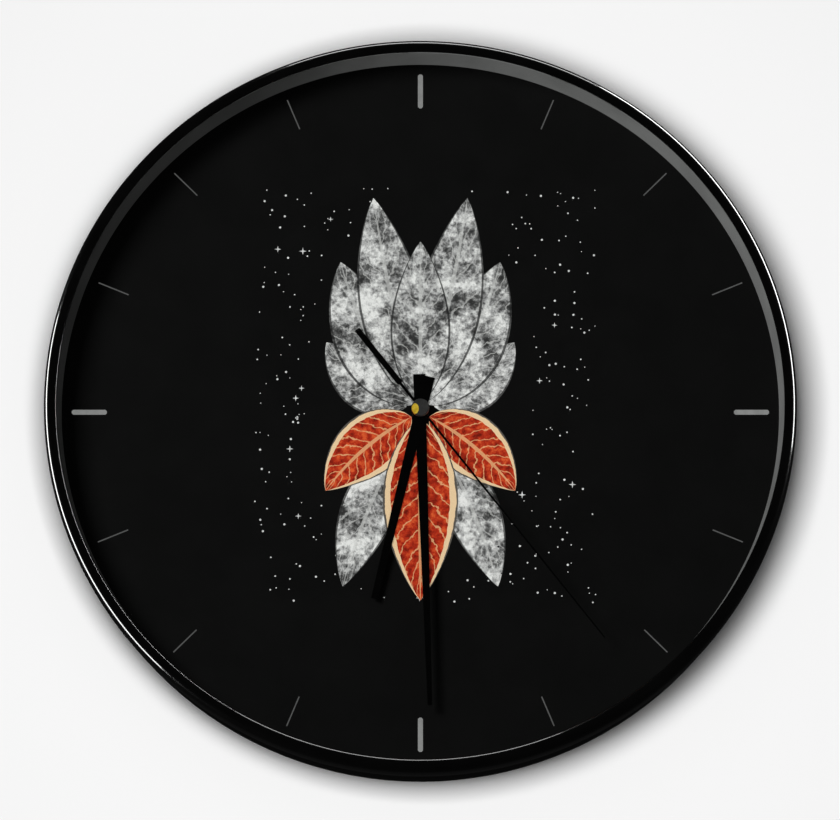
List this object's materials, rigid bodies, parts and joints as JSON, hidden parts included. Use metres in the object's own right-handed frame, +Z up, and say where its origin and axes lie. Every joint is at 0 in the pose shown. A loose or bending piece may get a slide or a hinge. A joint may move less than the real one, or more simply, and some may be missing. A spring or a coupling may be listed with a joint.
{
  "type": "wall clock",
  "caption": "Round black wall clock with bar markers, three hands, a raised case ring and a battery quartz movement.",
  "frame": {"origin": "on the axis of the hands, in the plane of the wall that the back rests on", "axes": "+Y into the wall, so the dial faces -Y; +Z up, towards twelve o'clock; +X to three o'clock"},
  "size_m": [0.3, 0.04, 0.3],
  "materials": {
    "frame_black": "gloss black moulding",
    "lens_clear": "clear, polished",
    "spacer_black": "satin black moulding",
    "dial_black": "printed, flat black",
    "bar_ink": "mid grey print",
    "line_ink": "dark grey print",
    "pan_black": "fine textured black moulding",
    "case_black": "fine textured black moulding",
    "cover_black": "fine textured black moulding",
    "plate_white": "white moulding",
    "lamination": "bare rolled steel",
    "bobbin_white": "white moulding",
    "winding_copper": "enamelled copper wire",
    "board_brown": "phenolic board",
    "chip_black": "potting resin",
    "crystal_can": "tinned metal can",
    "battery_sleeve": "printed film over a metal can",
    "contact_metal": "nickel-plated spring strip",
    "rotor_white": "white moulding",
    "magnet": "dark grey sintered magnet",
    "wheel_white": "white moulding",
    "wheel_brown": "brown moulding",
    "cannon_brass": "turned brass",
    "knob_black": "black moulding",
    "hand_black": "matt black paint",
    "cap_black": "black paint, worn at one spot"
  },
  "bodies": {
    "case": {"frame_ring": "frame_black", "front_lens": "lens_clear", "spacer_ring": "spacer_black", "dial_plate": "dial_black", "hour_bars": "bar_ink", "hour_lines": "line_ink", "back_pan": "pan_black", "movement_case": "case_black", "movement_cover": "cover_black", "middle_plate": "plate_white", "stator": "lamination", "coil_core": "lamination", "coil_bobbin": "bobbin_white", "coil_winding": "winding_copper", "circuit_board": "board_brown", "chip": "chip_black", "crystal": "crystal_can", "battery": "battery_sleeve", "contact_positive": "contact_metal", "contact_negative": "contact_metal"},
    "seconds": {"seconds_wheel": "wheel_white", "second_hand": "hand_black", "second_hand_cap": "cap_black"},
    "minutes": {"minute_wheel": "wheel_white", "cannon_pinion": "cannon_brass", "minute_hand": "hand_black"},
    "hours": {"hour_wheel": "wheel_white", "hour_hand": "hand_black"},
    "third": {"third_wheel": "wheel_brown"},
    "motion": {"intermediate_wheel": "wheel_brown", "set_knob": "knob_black"},
    "step": {"step_wheel": "wheel_white"},
    "rotor": {"rotor": "rotor_white", "rotor_magnet": "magnet"}
  },
  "joints": [
    {"name": "second_spin", "type": "hinge", "parent": "case", "child": "seconds", "pos_m": [0, -0.0323, 0], "axis": [0, 1, 0], "continuous": true},
    {"name": "minute_spin", "type": "hinge", "parent": "case", "child": "minutes", "pos_m": [0, -0.0299, 0], "axis": [0, 1, 0], "continuous": true},
    {"name": "hour_spin", "type": "hinge", "parent": "case", "child": "hours", "pos_m": [0, -0.0275, 0], "axis": [0, 1, 0], "continuous": true},
    {"name": "third_spin", "type": "hinge", "parent": "case", "child": "third", "pos_m": [-0.00751, -0.0115, 0.00434], "axis": [0, 1, 0], "continuous": true},
    {"name": "motion_spin", "type": "hinge", "parent": "case", "child": "motion", "pos_m": [0.0104, -0.0168, 0], "axis": [0, 1, 0], "continuous": true},
    {"name": "step_spin", "type": "hinge", "parent": "case", "child": "step", "pos_m": [0.00441, -0.0075, 0.00764], "axis": [0, 1, 0], "continuous": true},
    {"name": "rotor_spin", "type": "hinge", "parent": "case", "child": "rotor", "pos_m": [0.00316, -0.0075, 0.01473], "axis": [0, 1, 0], "continuous": true}
  ],
  "couplings": [
    {"joint": "minute_spin", "follows": "second_spin", "ratio": 0.016667},
    {"joint": "hour_spin", "follows": "second_spin", "ratio": 0.0013889},
    {"joint": "third_spin", "follows": "second_spin", "ratio": -0.13333},
    {"joint": "motion_spin", "follows": "second_spin", "ratio": -0.0055556},
    {"joint": "step_spin", "follows": "second_spin", "ratio": -6},
    {"joint": "rotor_spin", "follows": "second_spin", "ratio": 30}
  ]
}
